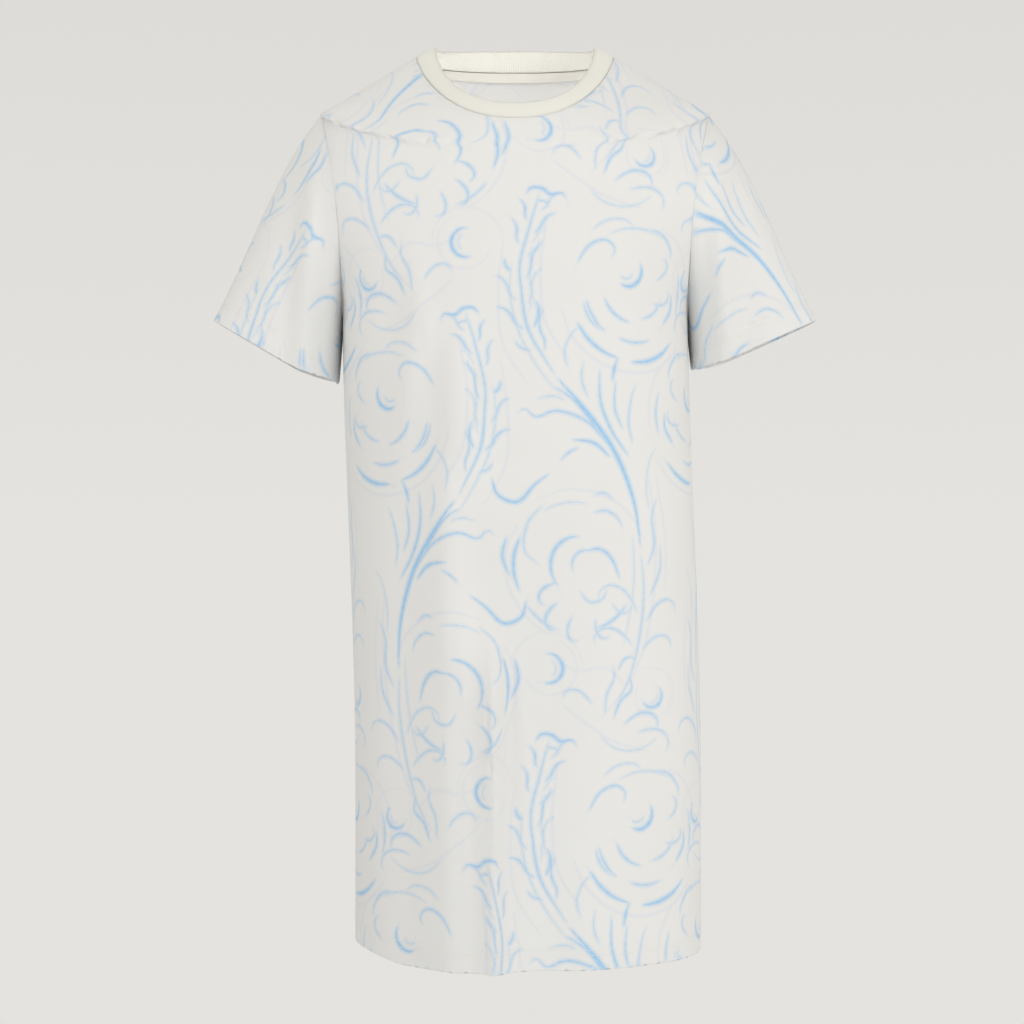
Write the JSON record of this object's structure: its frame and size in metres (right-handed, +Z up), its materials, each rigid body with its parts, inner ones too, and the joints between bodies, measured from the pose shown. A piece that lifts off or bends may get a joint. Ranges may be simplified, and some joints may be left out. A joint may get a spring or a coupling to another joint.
{
  "type": "short-sleeved patient gown",
  "caption": "Pull-over knee-length gown in light jersey with short sleeves, a rib collar, turned hems and an all-over scroll and leaf print.",
  "frame": {"origin": "midway between the two points where the shoulder seams meet the collar, so the gown hangs below it", "axes": "+Z up along the gown's length, +Y towards the wearer's back, +X towards the wearer's left"},
  "size_m": [0.598, 0.2607, 0.908],
  "materials": {
    "printed_jersey": "off-white single jersey with a pale blue scroll and leaf print on the face side",
    "rib_knit": "cream one-by-one rib knit",
    "sewing_thread": "matt off-white polyester thread",
    "bound_seam": "jersey seam allowance bound with overlock thread",
    "cotton_tape": "cream herringbone cotton tape",
    "satin_label": "blank white woven satin"
  },
  "bodies": {
    "root": {"front_panel": "printed_jersey", "back_panel": "printed_jersey", "left_sleeve": "printed_jersey", "right_sleeve": "printed_jersey", "neck_rib": "rib_knit", "hem_thread_lower": "sewing_thread", "hem_thread_upper": "sewing_thread", "left_cuff_thread_lower": "sewing_thread", "right_cuff_thread_lower": "sewing_thread", "left_cuff_thread_upper": "sewing_thread", "right_cuff_thread_upper": "sewing_thread", "neck_thread": "sewing_thread", "neck_seam": "bound_seam", "back_neck_tape": "cotton_tape", "left_shoulder_tape": "cotton_tape", "right_shoulder_tape": "cotton_tape", "left_side_seam": "bound_seam", "right_side_seam": "bound_seam", "left_armhole_seam": "bound_seam", "right_armhole_seam": "bound_seam", "left_sleeve_seam": "bound_seam", "right_sleeve_seam": "bound_seam", "care_label": "satin_label"}
  },
  "joints": []
}
